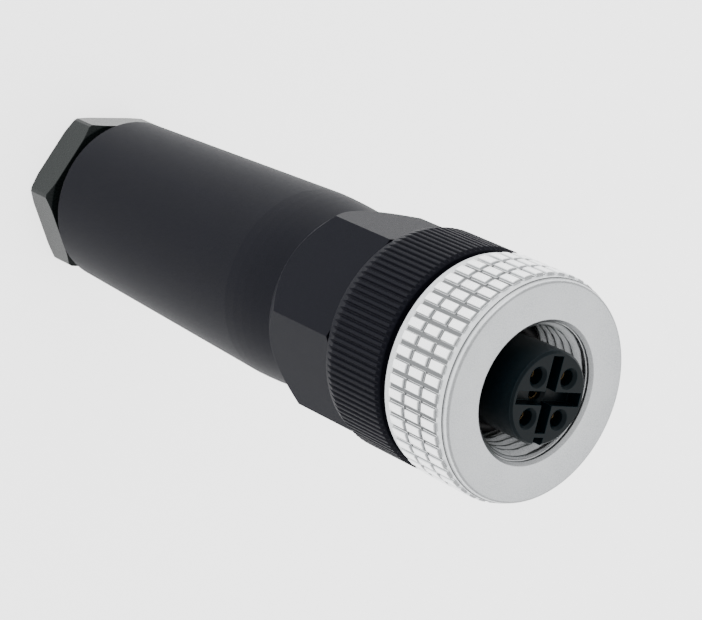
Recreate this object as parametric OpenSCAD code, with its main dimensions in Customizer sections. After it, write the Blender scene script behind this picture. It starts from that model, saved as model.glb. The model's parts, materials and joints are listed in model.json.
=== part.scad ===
// Straight M12 cable socket: five contacts, screw terminals, plastic body and a knurled metal nut.
// It stands on the flat end of its gland nut, with the mating face up. All sizes are in millimetres.
// Levels count from the gland nut's flat end, and radii from the one common axis.

/* [Body] */
// Wrench size across the shell's flats, which sets the diameter of the whole body
shell_hex = 17; // [16.5:0.1:18]
// How much wider the grip is than the hexagon over its corners
grip_over = 0.37; // [0.1:0.01:1]
// How much wider the knurl is than the grip
knurl_over = 0.1; // [0:0.05:0.5]

/* [Coupling nut] */
// Length of the coupling nut
nut_len = 7.9; // [7.9:0.1:9.6]
// Raised pads in one turn of the knurl
pad_count = 50; // [40:1:56]
// Rows of pads along the nut
pad_rows = 3; // [2:1:3]
// Length of one pad along the nut
pad_len = 1.75; // [1.4:0.05:1.8]
// Width of the grooves between pads
pad_groove = 0.4; // [0.3:0.05:0.5]
// Width of the grooves between rows
row_gap = 0.3; // [0.2:0.05:0.4]
// Plain band behind the knurl
rear_band = 0.85; // [0.5:0.05:1]
// How far the pads stand up
pad_h = 0.25; // [0.15:0.05:0.3]
// Outer diameter of the coupling thread
thread_d = 12; // [11.9:0.05:12.2]
// Diameter of the mouth where its chamfer meets the front face
mouth_d = 12.7; // [12.5:0.1:13]
// Distance between the nut and the grip behind it
nut_gap = 0.6; // [0.4:0.1:0.9]

/* [Contact insert] */
// Diameter of the insert that enters the mating plug
insert_d = 8.2; // [8:0.05:8.3]
// How far the insert stands out of the coupling nut
insert_proud = 1.4; // [1:0.1:2]
// Diameter of the circle of the four outer contacts
contact_pcd = 5; // [4.9:0.05:5.1]
// Diameter of the bore in each socket
socket_d = 1.05; // [1:0.05:1.1]
// Depth of the cross between the four raised quarters
cross_depth = 1.4; // [0.8:0.1:1.6]
// Width of the arms of the cross
cross_w = 1.2; // [1:0.05:1.3]
// Width of the keyway
key_w = 1.1; // [0.9:0.05:1.3]

/* [Grip sleeve] */
// Length of the ribbed grip
grip_len = 7.1; // [7:0.1:9]
// Ribs in one turn
rib_count = 108; // [90:1:120]
// Height of the ribs
rib_h = 0.2; // [0.1:0.05:0.25]

/* [Shell] */
// Length of the hexagon with its cone
hex_len = 9.3; // [9:0.1:10]
// Length of the tapered part
taper_len = 34.3; // [31:0.1:38]
// Diameter at the cable end
shell_rear_d = 15.7; // [15.6:0.1:16.6]
// How much wider the taper's widest place is than the hexagon across its flats
belly_over = 0.6; // [0.3:0.05:1]
// Turn of the shell's hexagon from the keyway
shell_turn = 3; // [0:1:59]

/* [Cable gland] */
// Wrench size across the gland nut's flats
gland_hex = 14; // [14:0.1:16]
// Height of the gland nut's hexagon
gland_hex_h = 3.2; // [2.8:0.1:4]
// Gap between the gland nut and the shell when it is hand tight
gland_gap = 1.2; // [0.8:0.1:1.6]
// Outer diameter of the gland thread
gland_thread_d = 12.3; // [12.1:0.1:12.5]
// Pitch of the gland thread
gland_pitch = 1.27; // [1:0.01:1.5]
// Diameter of the cable entry
entry_d = 7.2; // [6.6:0.1:7.4]
// Turn of the gland nut's hexagon from the keyway
gland_turn = 5; // [0:1:59]

/* [Fits] */
// Radial clearance of turning fits and of the two screwed joints
run = 0.08; // [0.04:0.01:0.1]
// Seam between the shell and the grip sleeve
seam = 0.2; // [0.1:0.05:0.3]
// Clearance around a part that is pushed into its seat
push = 0.05; // [0.02:0.01:0.1]

/* [Hidden] */
$fn = 96;

body_colour = [0.16, 0.18, 0.21];
insert_colour = [0.08, 0.12, 0.14];
gland_colour = [0.2, 0.23, 0.23];
metal_colour = [0.83, 0.84, 0.86];
rubber_colour = [0.07, 0.07, 0.08];
gold_colour = [0.85, 0.68, 0.32];
far = 60; // longer than any radius or height that a cut has to clear
over = 1; // how far a cut runs past a face

// Levels along the axis
shell_z0 = gland_hex_h + gland_gap;
hex_z0 = shell_z0 + taper_len;
hex_z1 = hex_z0 + hex_len;
grip_z0 = hex_z1 + seam;
grip_z1 = grip_z0 + grip_len;
nut_z0 = grip_z1 + nut_gap;
nut_z1 = nut_z0 + nut_len;
face_z = nut_z1 + insert_proud;

// Outer radii of the body
hex_corner_r = shell_hex / sqrt(3);
grip_r = hex_corner_r + grip_over / 2;
knurl_r = grip_r + knurl_over / 2;
band_r = knurl_r - pad_h;
rim_r = band_r - 0.15;
belly_r = (shell_hex + belly_over) / 2;
taper_end_r = shell_hex / 2 - 0.02; // just inside the flats, which start here
shell_rear_r = shell_rear_d / 2;

// Cable gland: a hollow screw pushes the fingered cage against the rubber seal
gland_neck_len = 8;
gland_thread_depth = 0.55;
gland_edge = 0.3;
gland_mouth = 1.1; // chamfer of the cable entry
neck_z1 = gland_hex_h + gland_neck_len;
gland_r = gland_thread_d / 2;
gland_root_r = gland_r - gland_thread_depth;
gland_corner_r = gland_hex / sqrt(3) - 0.1; // corners turned down to this radius
entry_r = entry_d / 2;
finger_len = 3.3;
finger_taper = 1; // how much thinner the ring of fingers is at its free end
finger_count = 8;
finger_slot = 0.7;
cage_t = 1.5;
cage_z0 = neck_z1 + 0.6; // back of the cage's ring
cage_z1 = cage_z0 + cage_t;
finger_z0 = cage_z0 - finger_len; // free ends of the fingers
cage_r = gland_r - 0.3;
finger_base_r = cage_r - 0.65;
finger_tip_r = finger_base_r - finger_taper;
finger_bore_r = entry_r - 0.3;
finger_play = 0.1; // between the fingers and the cone in the gland nut
seal_len = 6.9;
seal_z1 = cage_z1 + seal_len;
seal_r = gland_r - 0.25;
seal_bore_r = 2.9;
seal_lip = 0.35;
seal_edge = 0.5;

// Shell
shell_bore_r = gland_r + run; // screwed joint of the gland, drawn as a running fit
shell_edge = 0.5;
seal_seat_r = seal_r + push;
shelf_t = 2.2;
shelf_z1 = seal_z1 + shelf_t;
shelf_bore_r = 3.9;
chamber_r = 6.3;
belly_z = hex_z0 - 6;
belly_steps = 5;
cone_slope = 1.5; // length of the cone up to the hexagon's corners for each unit of radius
blank_r = hex_corner_r + 0.5; // round blank that the six flats are cut from

// Grip sleeve: ribbed skirt, front web, snap neck for the nut and a threaded tube for the shell
skirt_t = 1.5;
skirt_r = grip_r - skirt_t;
spigot_r = skirt_r - 0.1;
web_t = 2;
web_z0 = grip_z1 - web_t;
rib_lead = 1; // length over which the ribs run out at the back
rib_edge = 0.3;
tube_len = 11.6;
tube_r = 7;
tube_root_r = tube_r - 0.5;
tube_bore_r = 5.65;
tube_z0 = web_z0 - tube_len;
tube_pitch = 1;
neck_r = 5;
flange_r = neck_r + 0.32;
flange_t = 0.9;
flange_edge = 0.4;
nut_float = 0.4; // end play of the coupling nut
lip_t = 1.5; // inward lip of the coupling nut, trapped between flange and grip
flange_z0 = nut_z0 + lip_t + nut_float;
flange_z1 = flange_z0 + flange_t;

// O-rings, each bedded in an arc groove of the sleeve
mating_cord_r = 0.5;
insert_r = insert_d / 2;
insert_root_r = insert_r - 0.2; // inside the neck and under the O-ring
mating_ring_r = insert_root_r + mating_cord_r + 0.02;
mating_ring_z = flange_z1 + mating_cord_r - 0.3;
housing_cord_r = 0.6;
housing_ring_r = (tube_r + skirt_r) / 2;
housing_ring_z = web_z0 - housing_cord_r + 0.2;
spigot_z1 = housing_ring_z - housing_cord_r - 0.1;

// Contacts and their screw terminals. The wiring space lies between the shelf and the block.
wiring_space = 4.6;
block_r = tube_bore_r - push;
block_z0 = shelf_z1 + wiring_space;
post_r = 1.3; // round terminal of the centre contact
post_len = 4.5;
post_z0 = block_z0 + 1;
post_z1 = post_z0 + post_len;
box_in_r = 1.75; // square terminal of an outer contact, from this radius
box_out_r = 4.8; // to this one
box_w = 2.6;
box_len = 5;
box_z0 = post_z1 + 1;
box_z1 = box_z0 + box_len;
contact_r = contact_pcd / 2;
socket_r = socket_d / 2;
socket_wall_r = socket_r + 0.275;
socket_hole_r = socket_wall_r + 0.06;
socket_depth = 6.5;
socket_slit = 0.2;
pin_entry_r = socket_r + 0.155;
pin_chamfer = 0.27;
entry_depth = 1.2; // from the face to the socket's end
stem_r = 0.6;
wire_r = 0.8;
wire_stop = 0.8; // metal left at the end of a wire hole
wire_centre_r = 2.9;
screw_r = 0.9;
screw_point = 0.3;
screw_end_r = 5.2;
screw_slot_w = 0.3;
screw_slot_depth = 0.45;
key_z0 = flange_z1 + 1;
key_depth = 0.75;
insert_edge = 0.2;
cross_rim = 0.45; // left between the arms of the cross and the insert's edge
key_rim = 0.35; // left between the cross and the keyway

// Coupling nut
knurl_z0 = nut_z0 + rear_band;
knurl_len = pad_rows * pad_len + (pad_rows - 1) * row_gap;
knurl_z1 = knurl_z0 + knurl_len;
groove_r = band_r - 0.03; // floor of the knurl's grooves
rear_edge = 0.25;
rim_edge = 0.25;
rim_len = 0.6;
thread_r = thread_d / 2;
thread_root_r = thread_r - 0.54;
thread_pitch = 1;
thread_z0 = nut_z0 + lip_t + 0.35;
mouth_r = mouth_d / 2;
relief_r = thread_r + 0.05;
relief_len = 0.25;
relief_z0 = nut_z1 - (mouth_r - relief_r) - relief_len;
thread_z1 = relief_z0 - (relief_r - thread_root_r) * 0.85;
thread_turns = floor(thread_z1 - thread_z0 + 0.001);

// Zigzag of ridges along the axis, from radius a to radius b and back at every pitch.
// Each ridge starts, peaks and ends at these shares of the pitch.
function ridges(a, b, z0, pitch, turns) = [
    for (i = [0:turns - 1], p = [[a, 0.05], [b, 0.45], [b, 0.55], [a, 0.95]])
        [p[0], z0 + (i + p[1]) * pitch]
];

// Outline of a ribbed ring: flat crests at radius r and flat roots at r - h
function rib_outline(r, h, count) = [
    for (i = [0:count - 1], p = [[r - h, 0.1], [r, 0.3], [r, 0.7], [r - h, 0.9]])
        [p[0] * cos((i + p[1]) * 360 / count), p[0] * sin((i + p[1]) * 360 / count)]
];

// Angle around the axis of outer contact number k, counted from 1
function contact_angle(k) = k * 90 - 45;

module ring(outer_r, inner_r, z0, z1) {
    translate([0, 0, z0])
        difference() {
            cylinder(r = outer_r, h = z1 - z0);
            translate([0, 0, -1])
                cylinder(r = inner_r, h = z1 - z0 + 2);
        }
}

module bore(r, z0, z1) {
    translate([0, 0, z0])
        cylinder(r = r, h = z1 - z0);
}

module cone(r0, r1, z0, z1) {
    translate([0, 0, z0])
        cylinder(r1 = r0, r2 = r1, h = z1 - z0);
}

module torus(ring_r, cord_r, z) {
    translate([0, 0, z])
        rotate_extrude()
            translate([ring_r, 0])
                circle(r = cord_r, $fn = 48);
}

module hexagon(across, z0, z1) {
    translate([0, 0, z0])
        cylinder(r = across / sqrt(3), h = z1 - z0, $fn = 6);
}

// Hollow gland screw: hexagon with turned corners, threaded neck, and a cone that closes the cage
module gland_nut() {
    turns = floor((gland_neck_len - 1) / gland_pitch);
    color(gland_colour)
        difference() {
            union() {
                intersection() {
                    rotate(gland_turn)
                        hexagon(gland_hex, 0, gland_hex_h);
                    rotate_extrude()
                        polygon([
                            [0, 0],
                            [gland_corner_r - gland_edge * 2, 0],
                            [gland_corner_r, gland_edge],
                            [gland_corner_r, gland_hex_h - gland_edge],
                            [gland_corner_r - gland_edge * 2, gland_hex_h],
                            [0, gland_hex_h]
                        ]);
                }
                rotate_extrude()
                    polygon(concat(
                        [[0, gland_hex_h - over], [gland_root_r, gland_hex_h - over]],
                        ridges(gland_root_r, gland_r, gland_hex_h + 0.5, gland_pitch, turns),
                        [[gland_root_r, neck_z1], [0, neck_z1]]
                    ));
            }
            bore(entry_r, -over, neck_z1 + over);
            cone(entry_r + gland_mouth, entry_r - 0.1, -0.1, gland_mouth);
            cone(finger_tip_r + finger_play, finger_base_r + finger_play, finger_z0, cage_z0);
        }
}

// Cage whose fingers close on the cable when the gland nut's cone rides over them
module clamp_cage() {
    color(body_colour)
        difference() {
            union() {
                ring(cage_r, finger_bore_r, cage_z0, cage_z1);
                difference() {
                    cone(finger_tip_r, finger_base_r, finger_z0, cage_z0);
                    bore(finger_bore_r, finger_z0 - over, cage_z0 + over);
                }
            }
            for (i = [0:finger_count - 1])
                rotate(i * 360 / finger_count)
                    translate([0, -finger_slot / 2, finger_z0 - over])
                        cube([far, finger_slot, finger_len + cage_t / 4 + over]);
        }
}

// Rubber seal around the cable, with two inner lips
module seal_grommet() {
    third = seal_len / 3;
    color(rubber_colour)
        rotate_extrude()
            polygon([
                [seal_bore_r + seal_edge, cage_z1],
                [seal_r - seal_edge, cage_z1],
                [seal_r, cage_z1 + seal_edge],
                [seal_r, seal_z1 - seal_edge],
                [seal_r - seal_edge, seal_z1],
                [seal_bore_r + seal_edge, seal_z1],
                [seal_bore_r - seal_lip, seal_z1 - third / 2],
                [seal_bore_r, seal_z1 - third],
                [seal_bore_r, cage_z1 + third],
                [seal_bore_r - seal_lip, cage_z1 + third / 2]
            ]);
}

// Outside of the shell: taper with a slight belly, cone up to the hexagon, and the plain spigot
// inside the grip
module shell_outside() {
    difference() {
        rotate_extrude()
            polygon(concat(
                [
                    [0, shell_z0],
                    [shell_rear_r - shell_edge, shell_z0],
                    [shell_rear_r, shell_z0 + shell_edge]
                ],
                [
                    for (i = [0:belly_steps])
                        [
                            taper_end_r + (belly_r - taper_end_r) * cos(90 * i / belly_steps),
                            belly_z + (hex_z0 - belly_z) * i / belly_steps
                        ]
                ],
                [
                    [blank_r, hex_z0 + (blank_r - taper_end_r) * cone_slope],
                    [blank_r, hex_z1],
                    [spigot_r, hex_z1],
                    [spigot_r, spigot_z1],
                    [0, spigot_z1]
                ]
            ));
        for (i = [0:5])
            rotate(shell_turn + 30 + i * 60)
                translate([shell_hex / 2, -far / 2, hex_z0])
                    cube([far, far, hex_z1 - hex_z0 + over]);
    }
}

// Body that holds the gland, the seal and the wiring space, and screws onto the grip sleeve
module shell() {
    color(body_colour)
        difference() {
            shell_outside();
            bore(shell_bore_r, shell_z0 - over, cage_z1 - cage_t / 3);
            bore(seal_seat_r, shell_z0, seal_z1);
            bore(shelf_bore_r, seal_z1 - over, shelf_z1 + over);
            bore(chamber_r, shelf_z1, tube_z0);
            bore(tube_r + run, tube_z0 - 0.5, spigot_z1 + over);
            cone(shell_bore_r + shell_edge + 0.1, shell_bore_r, shell_z0 - 0.1, shell_z0 + shell_edge);
        }
}

// Seal between the sleeve's web and the shell's spigot
module housing_oring() {
    color(rubber_colour)
        torus(housing_ring_r, housing_cord_r, housing_ring_z);
}

// Ribbed skirt of the sleeve, eased at the front edge and run out at the back
module ribbed_grip() {
    intersection() {
        translate([0, 0, grip_z0])
            linear_extrude(grip_len)
                polygon(rib_outline(grip_r, rib_h, rib_count));
        rotate_extrude()
            polygon([
                [0, grip_z0],
                [grip_r - rib_edge, grip_z0],
                [grip_r, grip_z0 + rib_lead],
                [grip_r, grip_z1 - rib_edge],
                [grip_r - rib_edge, grip_z1],
                [0, grip_z1]
            ]);
    }
}

// Sleeve: grip outside, snap neck for the coupling nut in front, threaded tube behind
module grip_sleeve() {
    turns = floor((tube_len - web_t) / tube_pitch);
    color(body_colour)
        difference() {
            union() {
                difference() {
                    ribbed_grip();
                    ring(skirt_r, tube_root_r, grip_z0 - over, web_z0);
                }
                rotate_extrude()
                    polygon(concat(
                        [[tube_bore_r - over, tube_z0], [tube_root_r, tube_z0]],
                        ridges(tube_root_r, tube_r, tube_z0 + 0.3, tube_pitch, turns),
                        [[tube_root_r, web_z0 + web_t / 4], [tube_bore_r - over, web_z0 + web_t / 4]]
                    ));
                rotate_extrude()
                    polygon([
                        [0, grip_z1 - web_t / 2],
                        [neck_r, grip_z1 - web_t / 2],
                        [neck_r, flange_z0],
                        [flange_r, flange_z0],
                        [flange_r, flange_z1 - flange_edge],
                        [flange_r - flange_edge / 2, flange_z1],
                        [0, flange_z1]
                    ]);
            }
            bore(insert_root_r + push, tube_z0 - over, flange_z1 + over);
            bore(tube_bore_r, tube_z0 - over, web_z0);
            torus(mating_ring_r, mating_cord_r, mating_ring_z);
            torus(housing_ring_r, housing_cord_r, housing_ring_z);
        }
}

// Cut for one contact: pin entry with its chamfer, and the round hole that holds the socket
module contact_hole(face, socket_end, back) {
    bore(pin_entry_r, socket_end - 0.1, face_z + over);
    cone(pin_entry_r, pin_entry_r + pin_chamfer + 0.1, face - pin_chamfer, face + 0.1);
    bore(socket_hole_r, back, socket_end);
}

// Square channel behind an outer contact, along +X
module box_channel() {
    translate([box_in_r - push, -box_w / 2 - push, block_z0 - over])
        cube([box_out_r - box_in_r + 2 * push, box_w + 2 * push, box_z1 - block_z0 + over]);
}

// Radial hole for a terminal screw, along +X
module screw_hole(z) {
    translate([0, 0, z])
        rotate([0, 90, 0])
            cylinder(r = screw_r + run, h = far);
}

// Cross between the four quarters of the mating face. It stops short of the rim and of the keyway.
module face_cross() {
    arm = insert_r - cross_rim;
    key_arm = insert_r - key_depth - key_rim;
    translate([-arm, -cross_w / 2, face_z - cross_depth])
        cube([2 * arm, cross_w, far]);
    translate([-cross_w / 2, -key_arm, face_z - cross_depth])
        cube([cross_w, key_arm + arm, far]);
}

// One moulding: round insert with the keyway in front, terminal block behind
module contact_insert() {
    centre_face = face_z - cross_depth;
    color(insert_colour)
        difference() {
            union() {
                rotate_extrude()
                    polygon([
                        [0, web_z0 - over],
                        [insert_root_r, web_z0 - over],
                        [insert_root_r, key_z0],
                        [insert_r, key_z0],
                        [insert_r, face_z - insert_edge],
                        [insert_r - insert_edge, face_z],
                        [0, face_z]
                    ]);
                bore(block_r, block_z0, web_z0);
            }
            face_cross();
            translate([-key_w / 2, -insert_r - over, key_z0])
                cube([key_w, key_depth + over, far]);
            for (k = [1:4])
                rotate(contact_angle(k)) {
                    translate([contact_r, 0, 0])
                        contact_hole(face_z, face_z - entry_depth, box_z1 - over);
                    box_channel();
                    screw_hole((box_z0 + box_z1) / 2);
                }
            contact_hole(centre_face, centre_face - entry_depth / 2, post_z1 - over);
            bore(post_r + push, block_z0 - over, post_z1);
            rotate(90)
                screw_hole((post_z0 + post_z1) / 2);
        }
}

// Split socket on a solid stem, standing on the level of its terminal
module socket(foot_z, end_z) {
    bottom = end_z - socket_depth;
    difference() {
        union() {
            bore(socket_wall_r, bottom - 1, end_z);
            bore(stem_r, foot_z - 0.5, bottom);
        }
        bore(socket_r, bottom, end_z + over);
        translate([-socket_wall_r * 2, -socket_slit / 2, bottom + socket_depth / 4])
            cube([socket_wall_r * 4, socket_slit, socket_depth]);
    }
}

// Outer contact with its terminal box, along +X
module outer_contact() {
    difference() {
        union() {
            translate([contact_r, 0, 0])
                socket(box_z1, face_z - entry_depth);
            translate([box_in_r, -box_w / 2, box_z0])
                cube([box_out_r - box_in_r, box_w, box_z1 - box_z0]);
        }
        translate([wire_centre_r, 0, 0])
            bore(wire_r, box_z0 - over, box_z1 - wire_stop);
        translate([wire_centre_r, 0, (box_z0 + box_z1) / 2])
            rotate([0, 90, 0])
                cylinder(r = screw_r, h = far);
    }
}

// Centre contact with its round terminal post
module centre_contact() {
    difference() {
        union() {
            socket(post_z1, face_z - cross_depth - entry_depth / 2);
            bore(post_r, post_z0, post_z1);
        }
        bore(wire_r, post_z0 - over, post_z1 - wire_stop);
        rotate(90)
            translate([0, 0, (post_z0 + post_z1) / 2])
                rotate([0, 90, 0])
                    cylinder(r = screw_r, h = far);
    }
}

module contact(k) {
    color(gold_colour)
        if (k < 5)
            rotate(contact_angle(k))
                outer_contact();
        else
            centre_contact();
}

// Slotted set screw along +X, from its tip radius to its head end
module set_screw(tip_r, z) {
    translate([0, 0, z])
        difference() {
            translate([tip_r, 0, 0])
                rotate([0, 90, 0])
                    union() {
                        cylinder(r1 = screw_r - screw_point, r2 = screw_r, h = screw_point);
                        translate([0, 0, screw_point])
                            cylinder(r = screw_r, h = screw_end_r - tip_r - screw_point);
                    }
            translate([screw_end_r - screw_slot_depth, -far / 2, -screw_slot_w / 2])
                cube([far, far, screw_slot_w]);
        }
}

module terminal_screw(k) {
    color(metal_colour)
        if (k < 5)
            rotate(contact_angle(k))
                set_screw(wire_centre_r + 0.1, (box_z0 + box_z1) / 2);
        else
            rotate(90)
                set_screw(0.1, (post_z0 + post_z1) / 2);
}

// Seal that the mating plug presses on, around the foot of the insert
module mating_oring() {
    color(rubber_colour)
        torus(mating_ring_r, mating_cord_r, mating_ring_z);
}

// Flat disc of the knurl with one groove for each pad
module knurl_section() {
    difference() {
        circle(r = knurl_r);
        for (i = [0:pad_count - 1])
            rotate((i + 0.5) * 360 / pad_count)
                translate([knurl_r, 0])
                    square([2 * (knurl_r - groove_r), pad_groove], center = true);
    }
}

// Outside of the coupling nut: plain bands and rim, with the knurl between them
module nut_outside() {
    rotate_extrude()
        polygon([
            [0, nut_z0],
            [band_r - rear_edge, nut_z0],
            [band_r, nut_z0 + rear_edge],
            [band_r, knurl_z0],
            [0, knurl_z0]
        ]);
    difference() {
        translate([0, 0, knurl_z0])
            linear_extrude(knurl_len)
                knurl_section();
        for (i = [1:pad_rows - 1])
            ring(knurl_r + over, groove_r,
                 knurl_z0 + i * (pad_len + row_gap) - row_gap,
                 knurl_z0 + i * (pad_len + row_gap));
    }
    rotate_extrude()
        polygon([
            [0, knurl_z1],
            [band_r, knurl_z1],
            [band_r, nut_z1 - rim_len],
            [rim_r, nut_z1 - rim_len + (band_r - rim_r)],
            [rim_r, nut_z1 - rim_edge],
            [rim_r - rim_edge * 0.3, nut_z1 - rim_edge * 0.3],
            [rim_r - rim_edge, nut_z1],
            [0, nut_z1]
        ]);
}

// Knurled metal nut: M12 thread in front, inward lip behind that keeps it on the sleeve
module coupling_nut() {
    color(metal_colour)
        difference() {
            nut_outside();
            bore(neck_r + run, nut_z0 - over, nut_z0 + lip_t + over);
            rotate_extrude()
                polygon(concat(
                    [[0, nut_z0 + lip_t], [relief_r, nut_z0 + lip_t], [relief_r, thread_z0]],
                    ridges(thread_r, thread_root_r, thread_z0, thread_pitch, thread_turns),
                    [
                        [thread_root_r, thread_z1],
                        [relief_r, relief_z0],
                        [relief_r, relief_z0 + relief_len],
                        [mouth_r, nut_z1],
                        [mouth_r, nut_z1 + over],
                        [0, nut_z1 + over]
                    ]
                ));
        }
}

gland_nut();
clamp_cage();
seal_grommet();
shell();
housing_oring();
grip_sleeve();
contact_insert();
contact(1);  // contact_1
contact(2);  // contact_2
contact(3);  // contact_3
contact(4);  // contact_4
contact(5);  // contact_5
terminal_screw(1);  // terminal_screw_1
terminal_screw(2);  // terminal_screw_2
terminal_screw(3);  // terminal_screw_3
terminal_screw(4);  // terminal_screw_4
terminal_screw(5);  // terminal_screw_5
mating_oring();
coupling_nut();
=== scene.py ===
import json
import math

import bmesh
import bpy
from mathutils import Matrix, Vector


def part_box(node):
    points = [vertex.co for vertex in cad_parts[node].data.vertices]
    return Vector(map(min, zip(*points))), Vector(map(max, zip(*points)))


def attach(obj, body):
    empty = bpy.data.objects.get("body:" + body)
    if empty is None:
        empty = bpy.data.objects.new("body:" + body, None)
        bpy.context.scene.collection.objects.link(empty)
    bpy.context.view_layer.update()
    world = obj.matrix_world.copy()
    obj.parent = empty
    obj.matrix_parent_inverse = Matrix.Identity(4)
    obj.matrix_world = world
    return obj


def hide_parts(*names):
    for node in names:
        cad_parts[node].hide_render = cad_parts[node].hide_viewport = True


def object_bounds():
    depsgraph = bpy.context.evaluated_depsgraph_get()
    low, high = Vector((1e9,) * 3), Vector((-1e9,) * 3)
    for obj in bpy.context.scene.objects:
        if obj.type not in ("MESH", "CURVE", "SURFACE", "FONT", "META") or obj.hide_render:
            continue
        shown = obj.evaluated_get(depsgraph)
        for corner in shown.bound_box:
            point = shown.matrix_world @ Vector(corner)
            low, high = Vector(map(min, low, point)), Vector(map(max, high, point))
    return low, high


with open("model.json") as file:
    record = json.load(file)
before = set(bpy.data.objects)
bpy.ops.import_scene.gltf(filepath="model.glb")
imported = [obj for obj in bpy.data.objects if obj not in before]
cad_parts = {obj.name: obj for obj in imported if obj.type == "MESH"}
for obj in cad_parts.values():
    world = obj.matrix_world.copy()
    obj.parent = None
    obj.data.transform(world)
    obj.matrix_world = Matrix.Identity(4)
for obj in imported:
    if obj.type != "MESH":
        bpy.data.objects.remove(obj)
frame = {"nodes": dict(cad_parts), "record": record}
cad_low, cad_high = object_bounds()
scene = bpy.context.scene
MM = 0.001

# ---------------------------------------------------------------- camera
# The photograph looks at the mouth of the coupling nut, from its left and from above.
FOCAL = 153.8  # mm on a 36 mm sensor
CAMERA_FROM_MOUTH = Vector((-0.175, 0.04912, 0.166127))
RIGHT = Vector((0.7454, 0.2314, 0.6251))
UP = Vector((-0.05, 0.9546, -0.2938))
BACK = Vector((-0.6647, 0.1877, 0.7231))

nut_low, nut_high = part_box("coupling_nut")


def make_camera():
    data = bpy.data.cameras.new("camera")
    data.lens = FOCAL
    data.sensor_width = 36
    data.clip_start = 0.01
    data.clip_end = 10
    camera = bpy.data.objects.new("camera", data)
    scene.collection.objects.link(camera)
    camera.location = Vector((0, 0, nut_high[2])) + CAMERA_FROM_MOUTH
    camera.rotation_mode = "QUATERNION"
    camera.rotation_quaternion = Matrix((RIGHT, UP, BACK)).transposed().to_quaternion()
    scene.camera = camera


# ---------------------------------------------------------------- shader helpers
def new_material(name, roughness, metallic=0.0, specular=0.5):
    material = bpy.data.materials.new(name)
    material.use_nodes = True
    shader = material.node_tree.nodes["Principled BSDF"]
    shader.inputs["Roughness"].default_value = roughness
    shader.inputs["Metallic"].default_value = metallic
    shader.inputs["Specular IOR Level"].default_value = specular
    return material, material.node_tree, shader


def coordinates(tree, per_mm):
    """Object coordinates, scaled so that one unit is 1 / per_mm millimetres."""
    place = tree.nodes.new("ShaderNodeTexCoord")
    scale = tree.nodes.new("ShaderNodeMapping")
    scale.inputs["Scale"].default_value = (per_mm / MM,) * 3
    tree.links.new(place.outputs["Object"], scale.inputs["Vector"])
    return scale.outputs["Vector"]


def grain(tree, per_mm, detail=4.0, roughness=0.6):
    noise = tree.nodes.new("ShaderNodeTexNoise")
    noise.inputs["Scale"].default_value = 1.0
    noise.inputs["Detail"].default_value = detail
    noise.inputs["Roughness"].default_value = roughness
    tree.links.new(coordinates(tree, per_mm), noise.inputs["Vector"])
    return noise.outputs["Fac"]


def remap(tree, value, from_low, from_high, low, high):
    node = tree.nodes.new("ShaderNodeMapRange")
    node.inputs["From Min"].default_value = from_low
    node.inputs["From Max"].default_value = from_high
    node.inputs["To Min"].default_value = low
    node.inputs["To Max"].default_value = high
    tree.links.new(value, node.inputs["Value"])
    return node.outputs["Result"]


def blend_colour(tree, factor, first, second):
    node = tree.nodes.new("ShaderNodeMix")
    node.data_type = "RGBA"
    factor_in, first_in, second_in = node.inputs[0], node.inputs[6], node.inputs[7]
    tree.links.new(factor, factor_in)
    for colour, socket in ((first, first_in), (second, second_in)):
        if isinstance(colour, tuple):
            socket.default_value = (*colour, 1)
        else:
            tree.links.new(colour, socket)
    return node.outputs[2]


def rounded_normal(tree, radius_mm):
    node = tree.nodes.new("ShaderNodeBevel")
    node.samples = 6
    node.inputs["Radius"].default_value = radius_mm * MM
    return node.outputs["Normal"]


def edge_mask(tree, normal):
    """1 on edges, where the rounded normal leaves the face's own, and 0 on faces."""
    face = tree.nodes.new("ShaderNodeNewGeometry")
    dot = tree.nodes.new("ShaderNodeVectorMath")
    dot.operation = "DOT_PRODUCT"
    tree.links.new(normal, dot.inputs[0])
    tree.links.new(face.outputs["Normal"], dot.inputs[1])
    return remap(tree, dot.outputs["Value"], 0.99, 0.8, 0.0, 1.0)


def axis_distance(tree):
    """Distance from the connector's axis, in mm."""
    split = tree.nodes.new("ShaderNodeSeparateXYZ")
    join = tree.nodes.new("ShaderNodeCombineXYZ")
    length = tree.nodes.new("ShaderNodeVectorMath")
    length.operation = "LENGTH"
    tree.links.new(coordinates(tree, 1.0), split.inputs["Vector"])
    tree.links.new(split.outputs["X"], join.inputs["X"])
    tree.links.new(split.outputs["Y"], join.inputs["Y"])
    tree.links.new(join.outputs["Vector"], length.inputs[0])
    return length.outputs["Value"]


def groove_shade_mask(tree):
    """Where painted shade goes: 1 on the floors of the knurl's grooves, and 0 on the pads, the
    bands and the rest.
    """
    distance = axis_distance(tree)
    both = tree.nodes.new("ShaderNodeMath")
    both.operation = "MULTIPLY"
    outside = remap(tree, distance, GROOVE_R - 0.06, GROOVE_R - 0.03, 0.0, 1.0)
    inside = remap(tree, distance, GROOVE_R + 0.005, GROOVE_R + 0.025, 1.0, 0.0)
    tree.links.new(outside, both.inputs[0])
    tree.links.new(inside, both.inputs[1])
    return both.outputs["Value"]


def add_bump(tree, shader, height, depth_mm, strength, normal):
    node = tree.nodes.new("ShaderNodeBump")
    node.inputs["Distance"].default_value = depth_mm * MM
    node.inputs["Strength"].default_value = strength
    tree.links.new(height, node.inputs["Height"])
    tree.links.new(normal, node.inputs["Normal"])
    tree.links.new(node.outputs["Normal"], shader.inputs["Normal"])


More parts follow.
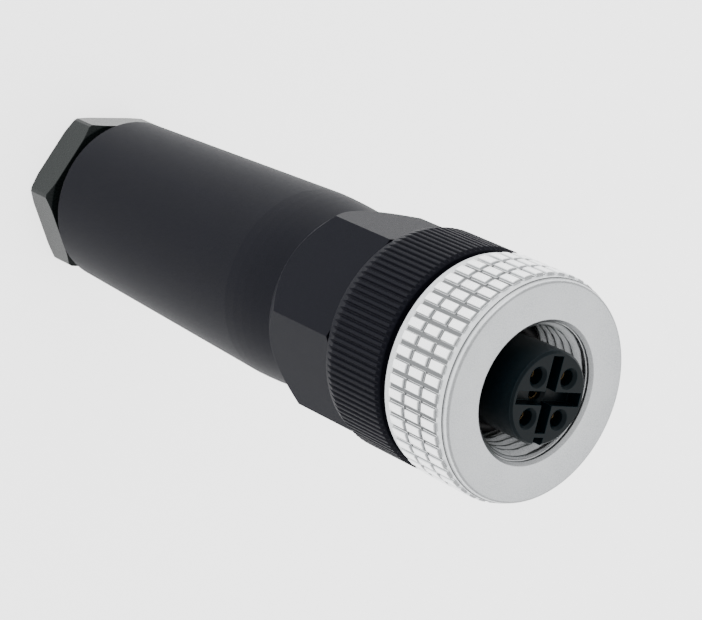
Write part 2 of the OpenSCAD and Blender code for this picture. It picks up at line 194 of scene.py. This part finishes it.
def moulded(name, dark, light, edge_wear_and_highlight, matt, grain_per_mm, bump, edge_mm=0.12, specular=0.5):
    """Moulded plastic or rubber: fine grain, faint clouding, and edges painted lighter, for rubbed
    wear and a painted highlight.
    """
    material, tree, shader = new_material(name, matt, specular=specular)
    fine = grain(tree, grain_per_mm)
    clouds = grain(tree, 0.25, detail=3.0)
    normal = rounded_normal(tree, edge_mm)
    colour = blend_colour(tree, remap(tree, fine, 0.35, 0.65, 0.0, 1.0), dark, light)
    clouded = blend_colour(tree, remap(tree, clouds, 0.35, 0.75, 0.0, 0.25), colour, light)
    # Edges painted lighter: rubbed wear and a painted highlight along the rounded edges.
    edge_wear_and_highlight_mask = remap(tree, edge_mask(tree, normal), 0.0, 1.0, 0.0, 0.8)
    wear_and_highlight_coloured = blend_colour(tree, edge_wear_and_highlight_mask, clouded, edge_wear_and_highlight)
    gloss = remap(tree, fine, 0.3, 0.7, matt - 0.05, matt + 0.06)
    tree.links.new(wear_and_highlight_coloured, shader.inputs["Base Color"])
    tree.links.new(gloss, shader.inputs["Roughness"])
    add_bump(tree, shader, fine, 0.03, bump, normal)
    return material


def plated(name, dark, light, edge_polish_and_highlight, matt, grain_per_mm, bump, knurl_shade_and_highlight=None, edge_mm=0.08):
    """Plated metal: satin grain, and edges painted brighter for polished plating and a painted
    highlight. A knurl gets painted shade in its grooves and a painted highlight on its pad tops.
    """
    material, tree, shader = new_material(name, matt, metallic=1.0)
    fine = grain(tree, grain_per_mm, detail=5.0)
    clouds = grain(tree, 0.4, detail=3.0)
    normal = rounded_normal(tree, edge_mm)
    edges = edge_mask(tree, normal)
    speckled = blend_colour(tree, remap(tree, fine, 0.38, 0.62, 0.0, 1.0), dark, light)
    colour = blend_colour(tree, remap(tree, clouds, 0.35, 0.75, 0.0, 0.4), speckled, light)
    if knurl_shade_and_highlight:
        groove_shade, pad_top_highlight = knurl_shade_and_highlight
        # Painted shade on the floors of the knurl's grooves.
        colour = blend_colour(tree, groove_shade_mask(tree), colour, groove_shade)
        # Painted highlight on the pad tops.
        pad_top_highlight_mask = remap(tree, axis_distance(tree), KNURL_R - 0.12, KNURL_R - 0.02, 0.0, 1.0)
        colour = blend_colour(tree, pad_top_highlight_mask, colour, pad_top_highlight)
    # Edges painted brighter: polished plating and a painted highlight along the rounded edges.
    polish_and_highlight_coloured = blend_colour(tree, edges, colour, edge_polish_and_highlight)
    gloss = remap(tree, fine, 0.3, 0.7, matt - 0.07, matt + 0.09)
    tree.links.new(polish_and_highlight_coloured, shader.inputs["Base Color"])
    tree.links.new(gloss, shader.inputs["Roughness"])
    add_bump(tree, shader, fine, 0.02, bump, normal)
    return material


# ---------------------------------------------------------------- coupling nut
# Sizes in mm. Those named as in the part's source are the same.
PAD_COUNT = 50
PAD_ROWS = 3
PAD_LEN = 1.75
PAD_GROOVE = 0.4
ROW_GAP = 0.3
REAR_BAND = 0.85
PAD_H = 0.25
LIP_T = 1.5
LIP_R = 5.08
THREAD_R = 6.0
THREAD_DEPTH = 0.54
THREAD_PITCH = 1.0
MOUTH_R = 6.35
RELIEF_R = 6.05
RELIEF_LEN = 0.25
RIM_STEP = 0.15
RIM_LEN = 0.6
EDGE = 0.25
KNURL_R = nut_high[0] / MM
NUT_Z0 = nut_low[2] / MM
NUT_Z1 = nut_high[2] / MM
BAND_R = KNURL_R - PAD_H
GROOVE_R = BAND_R - 0.03  # floor of the knurl's grooves
PAD_TOP_R = KNURL_R - 0.005  # a little inside the solid part's box
PAD_FOOT_R = GROOVE_R - 0.02  # sunk into the nut's body
PAD_WIDTH = 2 * math.pi * KNURL_R / PAD_COUNT - PAD_GROOVE
PAD_EDGE = 0.13  # rounding of a pad's edges
PAD_EDGE_STATIONS = (0.0, 0.02, 0.06, PAD_EDGE)
RIM_R = BAND_R - RIM_STEP
KNURL_Z0 = NUT_Z0 + REAR_BAND
KNURL_Z1 = KNURL_Z0 + PAD_ROWS * PAD_LEN + (PAD_ROWS - 1) * ROW_GAP
THREAD_Z0 = NUT_Z0 + LIP_T + 0.35
THREAD_Z1 = NUT_Z1 - (MOUTH_R - RELIEF_R) - RELIEF_LEN
RUN_OUT = 0.6  # length over which the thread fades at either end
FACES_AROUND = 256
THREAD_LEVELS = 110
THREAD_FLAT = 0.1  # share of half a pitch that is flat at the crest, and again at the root
ARC_STEPS = 5
SHARP_ANGLE = math.radians(38)  # edges sharper than this keep a crease


def quarter(r, z, size, start):
    """Quarter circle of (radius, level) points about a centre, from the angle start in degrees."""
    angles = [math.radians(start + 90 * i / ARC_STEPS) for i in range(ARC_STEPS + 1)]
    return [(r + size * math.cos(a), z + size * math.sin(a)) for a in angles]


def thread_radius(z, turn):
    """Radius of the right-handed M12 thread at a level, a given share of a turn round."""
    phase = ((z - THREAD_Z0) / THREAD_PITCH - turn) % 1.0
    flank = min(max((abs(phase - 0.5) * 2 - THREAD_FLAT) / (1 - 2 * THREAD_FLAT), 0.0), 1.0)
    ends = min(max(min(z - THREAD_Z0, THREAD_Z1 - z) / RUN_OUT, 0.0), 1.0)
    return THREAD_R - THREAD_DEPTH * ends * (1 - flank)


def nut_rows():
    """Outline of the nut's section as (radius, level); a radius of None follows the thread."""
    rows = [(LIP_R, NUT_Z0)]
    rows += quarter(BAND_R - EDGE, NUT_Z0 + EDGE, EDGE, -90)
    rows += [(BAND_R, KNURL_Z0), (GROOVE_R, KNURL_Z0), (GROOVE_R, KNURL_Z1), (BAND_R, KNURL_Z1)]
    rows += [(BAND_R, NUT_Z1 - RIM_LEN), (RIM_R, NUT_Z1 - RIM_LEN + RIM_STEP)]
    rows += quarter(RIM_R - EDGE, NUT_Z1 - EDGE, EDGE, 0)
    rows += [(MOUTH_R, NUT_Z1), (RELIEF_R, NUT_Z1 - (MOUTH_R - RELIEF_R))]
    rows += [(RELIEF_R, THREAD_Z1)]
    step = (THREAD_Z0 - THREAD_Z1) / THREAD_LEVELS
    rows += [(None, THREAD_Z1 + step * i) for i in range(THREAD_LEVELS + 1)]
    rows += [(RELIEF_R, THREAD_Z0), (RELIEF_R, NUT_Z0 + LIP_T), (LIP_R, NUT_Z0 + LIP_T)]
    return rows


def add_turned_body(mesh):
    """Turn the nut's section around the axis, with the thread's helix in its bore."""
    rows = nut_rows()
    rings = []
    for i in range(FACES_AROUND):
        turn = i / FACES_AROUND
        angle = 2 * math.pi * turn
        ring = []
        for r, z in rows:
            radius = thread_radius(z, turn) if r is None else r
            place = (radius * math.cos(angle) * MM, radius * math.sin(angle) * MM, z * MM)
            ring.append(mesh.verts.new(place))
        rings.append(ring)
    count = len(rows)
    for i, ring in enumerate(rings):
        after = rings[(i + 1) % FACES_AROUND]
        for j in range(count):
            k = (j + 1) % count
            mesh.faces.new((ring[j], after[j], after[k], ring[k]))


def pad_stations(width):
    """Places across a pad, closer together on its rounded edges."""
    half = width / 2
    rising = [e - half for e in PAD_EDGE_STATIONS]
    return rising + [half - e for e in reversed(PAD_EDGE_STATIONS)]


def pad_rise(place, width):
    """Share of the pad's height at a place across it: quarter-round edges, flat between."""
    gap = min((width / 2 - abs(place)) / PAD_EDGE, 1.0)
    return math.sqrt(1 - (1 - gap) ** 2)


def add_pad(mesh, angle, z0):
    """Add one closed pad, with its middle at the angle and its rear edge at the level z0."""
    grid = []
    for s in pad_stations(PAD_WIDTH):
        line = []
        for t in pad_stations(PAD_LEN):
            rise = min(pad_rise(s, PAD_WIDTH), pad_rise(t, PAD_LEN))
            r = PAD_FOOT_R + (PAD_TOP_R - PAD_FOOT_R) * rise
            a = angle + s / KNURL_R
            z = z0 + PAD_LEN / 2 + t
            line.append(mesh.verts.new((r * math.cos(a) * MM, r * math.sin(a) * MM, z * MM)))
        grid.append(line)
    last = len(grid) - 1
    for i in range(last):
        for j in range(last):
            mesh.faces.new((grid[i][j], grid[i + 1][j], grid[i + 1][j + 1], grid[i][j + 1]))
    border = [grid[0][j] for j in range(last)] + [grid[i][last] for i in range(last)]
    border += [grid[last][j] for j in range(last, 0, -1)] + [grid[i][0] for i in range(last, 0, -1)]
    mesh.faces.new(border)


def make_nut():
    """The coupling nut with a helical thread and rounded pads, in place of the solid one."""
    mesh = bmesh.new()
    add_turned_body(mesh)
    for row in range(PAD_ROWS):
        for i in range(PAD_COUNT):
            add_pad(mesh, 2 * math.pi * i / PAD_COUNT, KNURL_Z0 + row * (PAD_LEN + ROW_GAP))
    bmesh.ops.recalc_face_normals(mesh, faces=mesh.faces)
    data = bpy.data.meshes.new("knurled_nut")
    mesh.to_mesh(data)
    mesh.free()
    data.shade_smooth()
    data.set_sharp_from_angle(angle=SHARP_ANGLE)
    nut = bpy.data.objects.new("knurled_nut", data)
    scene.collection.objects.link(nut)
    nut.data.materials.append(finishes["nut_metal"])
    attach(nut, "nut_body")
    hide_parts("coupling_nut")


# ---------------------------------------------------------------- finishes
finishes = {
    "body_plastic": moulded(
        "body_plastic",
        dark=(0.0024, 0.0029, 0.005),
        light=(0.0047, 0.0049, 0.0085),
        edge_wear_and_highlight=(0.01, 0.01, 0.0155),
        matt=0.55,
        grain_per_mm=9.0,
        bump=0.5,
        specular=0.05,
    ),
    "gland_plastic": moulded(
        "gland_plastic",
        dark=(0.004, 0.0062, 0.006),
        light=(0.0075, 0.0105, 0.0102),
        edge_wear_and_highlight=(0.03, 0.034, 0.034),
        matt=0.28,
        grain_per_mm=5.0,
        bump=0.12,
        specular=0.14,
    ),
    "insert_plastic": moulded(
        "insert_plastic",
        dark=(0.0006, 0.0028, 0.0042),
        light=(0.0016, 0.0055, 0.0078),
        edge_wear_and_highlight=(0.012, 0.03, 0.037),
        matt=0.33,
        grain_per_mm=6.0,
        bump=0.1,
        edge_mm=0.08,
        specular=0.1,
    ),
    "seal_rubber": moulded(
        "seal_rubber",
        dark=(0.008, 0.008, 0.009),
        light=(0.014, 0.014, 0.015),
        edge_wear_and_highlight=(0.03, 0.03, 0.03),
        matt=0.6,
        grain_per_mm=7.0,
        bump=0.3,
    ),
    "nut_metal": plated(
        "nut_metal",
        dark=(0.36, 0.375, 0.385),
        light=(0.52, 0.535, 0.545),
        edge_polish_and_highlight=(0.9, 0.91, 0.92),
        matt=0.32,
        grain_per_mm=9.0,
        bump=0.6,
        # The knurl gets painted shade in its grooves and a painted highlight on its pad tops.
        knurl_shade_and_highlight=((0.1, 0.104, 0.107), (0.85, 0.86, 0.87)),
    ),
    # contact_metal: the gold is painted dark, as painted shade for the deep socket holes it sits
    # in.
    "contact_metal": plated(
        "contact_metal",
        dark=(0.05, 0.032, 0.014),
        light=(0.09, 0.06, 0.027),
        edge_polish_and_highlight=(0.3, 0.21, 0.1),
        matt=0.3,
        grain_per_mm=9.0,
        bump=0.15,
    ),
    "screw_steel": plated(
        "screw_steel",
        dark=(0.5, 0.5, 0.51),
        light=(0.62, 0.62, 0.63),
        edge_polish_and_highlight=(0.8, 0.8, 0.8),
        matt=0.32,
        grain_per_mm=9.0,
        bump=0.25,
    ),
}


def dress_nodes():
    """Give each CAD node the finish of its slot in the record."""
    for part in frame["record"]["subparts"]:
        obj = frame["nodes"][part["node"]]
        obj.data.materials.clear()
        obj.data.materials.append(finishes[part["material_slot"]])


# ---------------------------------------------------------------- studio
MIDDLE = Vector((0, 0, cad_high[2] / 2))
PAPER_HALF = 1.0
PAPER_DROP = 0.0001  # below the part, so that the two don't touch
PAPER_GLOW = 2.4
SKY_GLOW = 1.2


def area(name, at, power, size):
    """A square lamp that faces the part's middle, with its power in watts."""
    light = bpy.data.lights.new(name, "AREA")
    light.energy = power
    light.size = size
    lamp = bpy.data.objects.new(name, light)
    scene.collection.objects.link(lamp)
    lamp.location = at
    lamp.rotation_euler = (MIDDLE - at).to_track_quat("-Z", "Y").to_euler()


def make_floor():
    """Pale paper that glows softly, as on a light table."""
    material, tree, shader = new_material("paper", 0.9, specular=0.1)
    speckle = grain(tree, 0.5)
    white = blend_colour(tree, speckle, (0.9, 0.9, 0.9), (0.94, 0.94, 0.94))
    tree.links.new(white, shader.inputs["Base Color"])
    tree.links.new(white, shader.inputs["Emission Color"])
    shader.inputs["Emission Strength"].default_value = PAPER_GLOW
    level = cad_low[2] - PAPER_DROP
    signs = ((-1, -1), (1, -1), (1, 1), (-1, 1))
    corners = [(x * PAPER_HALF, y * PAPER_HALF, level) for x, y in signs]
    data = bpy.data.meshes.new("paper")
    data.from_pydata(corners, [], [(0, 1, 2, 3)])
    data.materials.append(material)
    floor = bpy.data.objects.new("paper", data)
    scene.collection.objects.link(floor)


def make_world():
    world = bpy.data.worlds.new("studio")
    world.use_nodes = True
    background = world.node_tree.nodes["Background"]
    background.inputs["Color"].default_value = (1, 1, 1, 1)
    background.inputs["Strength"].default_value = SKY_GLOW
    scene.world = world


make_camera()
dress_nodes()
make_nut()
make_floor()
make_world()
area("above", MIDDLE + UP * 0.45 + BACK * 0.2, 1.4, 0.35)
area("front", MIDDLE + Vector((0.4, -0.1, 0.45)), 0.6, 0.35)
area("left", MIDDLE - RIGHT * 0.5 - UP * 0.15 + BACK * 0.1, 2.0, 0.3)
